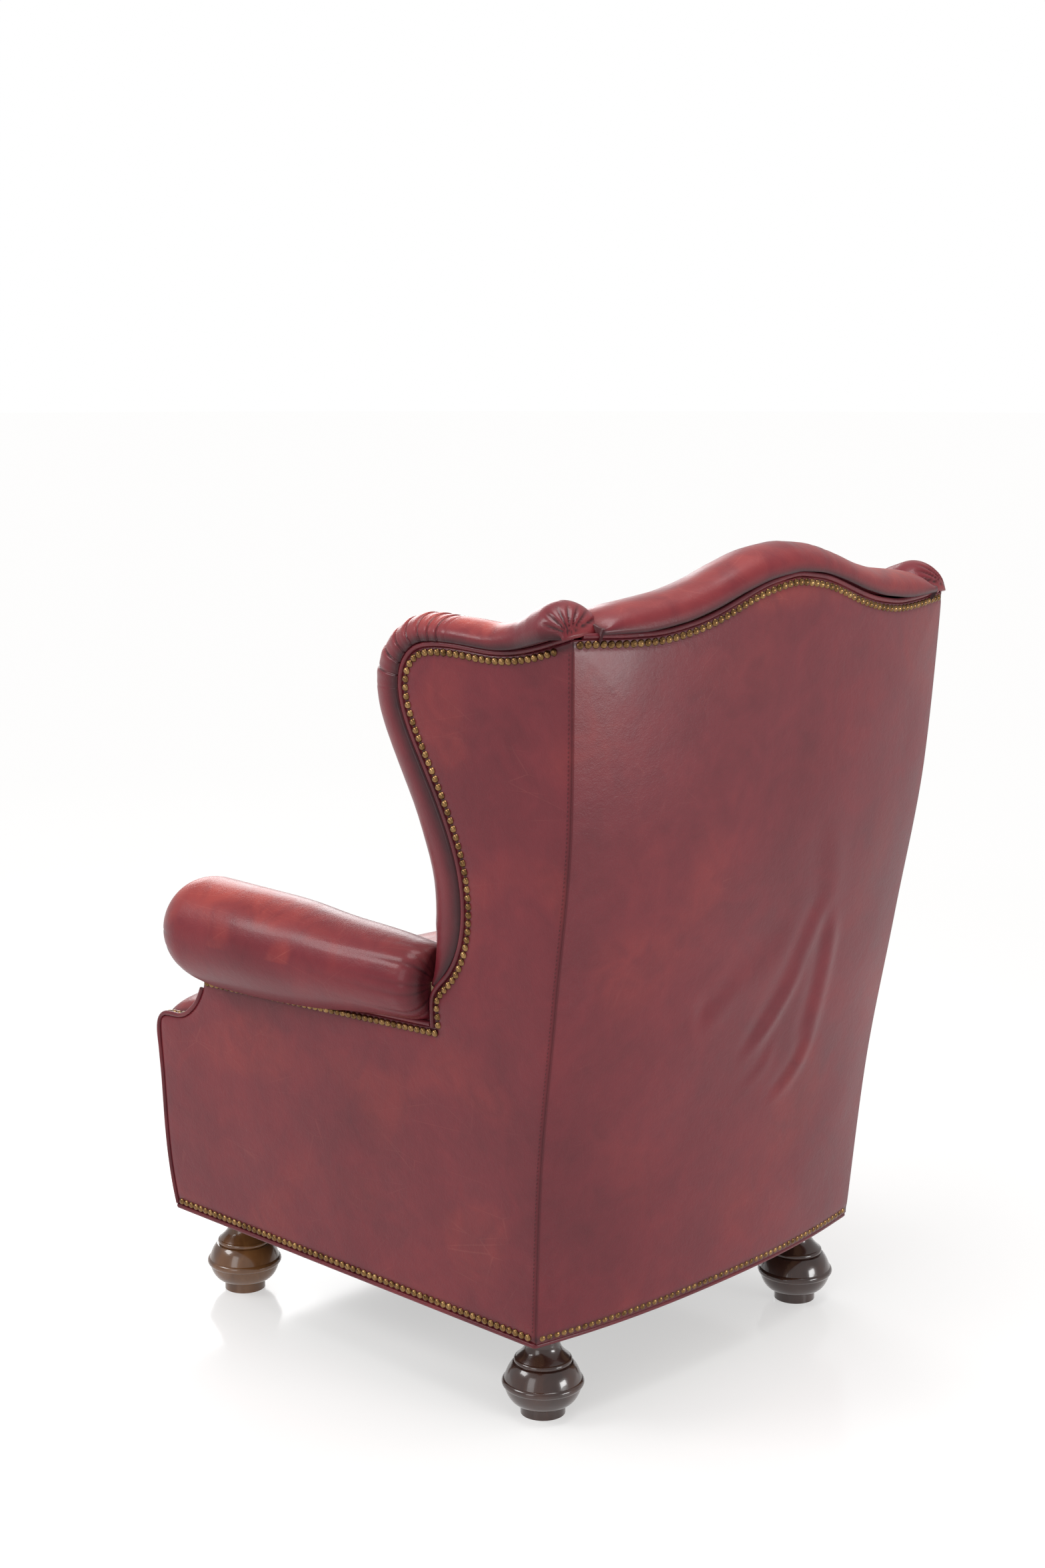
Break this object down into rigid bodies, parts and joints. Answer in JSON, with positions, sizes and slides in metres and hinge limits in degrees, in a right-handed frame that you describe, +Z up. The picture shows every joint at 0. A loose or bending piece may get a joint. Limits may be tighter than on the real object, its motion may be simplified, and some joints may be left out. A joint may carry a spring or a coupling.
{
  "type": "hall porter chair",
  "caption": "Leather wing armchair with a serpentine crest, rolled wings and arms, brass nailed edges and turned bun feet, over a sprung hardwood frame.",
  "frame": {"origin": "on the floor, under the middle of the chair's footprint box", "axes": "+Z up, -Y the way the sitter faces, +X the sitter's left"},
  "size_m": [0.8166, 0.8589, 1.0642],
  "materials": {
    "dust_cloth": "thin black cloth",
    "foot_wood": "dark polish, semi-gloss",
    "frame_wood": "bare sawn hardwood",
    "hessian": "coarse woven jute",
    "leather": "waxed, hand-tipped, soft folds",
    "nail_brass": "antiqued, dull in the hollows",
    "outside_leather": "waxed, hand-tipped, flat panels",
    "spring_steel": "plain wire",
    "stuffing": "hair and felt pad",
    "webbing": "woven jute",
    "welt_leather": "waxed, dark in the seams"
  },
  "bodies": {
    "root": {"arm_facing_left": "leather", "arm_facing_right": "leather", "arm_post_left": "frame_wood", "arm_post_right": "frame_wood", "arm_rail_left": "frame_wood", "arm_rail_right": "frame_wood", "arm_roll_cover_left": "leather", "arm_roll_cover_right": "leather", "arm_roll_stuffing_left": "stuffing", "arm_roll_stuffing_right": "stuffing", "back_lower_rail": "frame_wood", "back_stuffing": "stuffing", "back_webbing": "webbing", "base_nails": "nail_brass", "base_welt": "welt_leather", "corner_blocks": "frame_wood", "crest_nails": "nail_brass", "crest_rail": "frame_wood", "crest_welt": "welt_leather", "dust_cover": "dust_cloth", "foot_front_left": "foot_wood", "foot_front_right": "foot_wood", "foot_rear_left": "foot_wood", "foot_rear_right": "foot_wood", "front_band_left": "welt_leather", "front_band_right": "welt_leather", "front_nails_left": "nail_brass", "front_nails_right": "nail_brass", "front_welt_left": "welt_leather", "front_welt_right": "welt_leather", "inside_arm_pad_left": "leather", "inside_arm_pad_right": "leather", "inside_back_cover": "leather", "inside_wing_pad_left": "leather", "inside_wing_pad_right": "leather", "outside_back_panel": "outside_leather", "outside_panel_left": "outside_leather", "outside_panel_right": "outside_leather", "rear_post_left": "frame_wood", "rear_post_right": "frame_wood", "seat_cover": "leather", "seat_rail_back": "frame_wood", "seat_rail_front": "frame_wood", "seat_rail_left": "frame_wood", "seat_rail_right": "frame_wood", "seat_springs": "spring_steel", "seat_stuffing": "stuffing", "seat_webbing": "webbing", "side_nails_left": "nail_brass", "side_nails_right": "nail_brass", "side_stay_rail_left": "frame_wood", "side_stay_rail_right": "frame_wood", "side_welt_left": "welt_leather", "side_welt_right": "welt_leather", "spring_hessian": "hessian", "wing_board_left": "frame_wood", "wing_board_right": "frame_wood", "wing_roll_left": "leather", "wing_roll_right": "leather"}
  },
  "joints": []
}
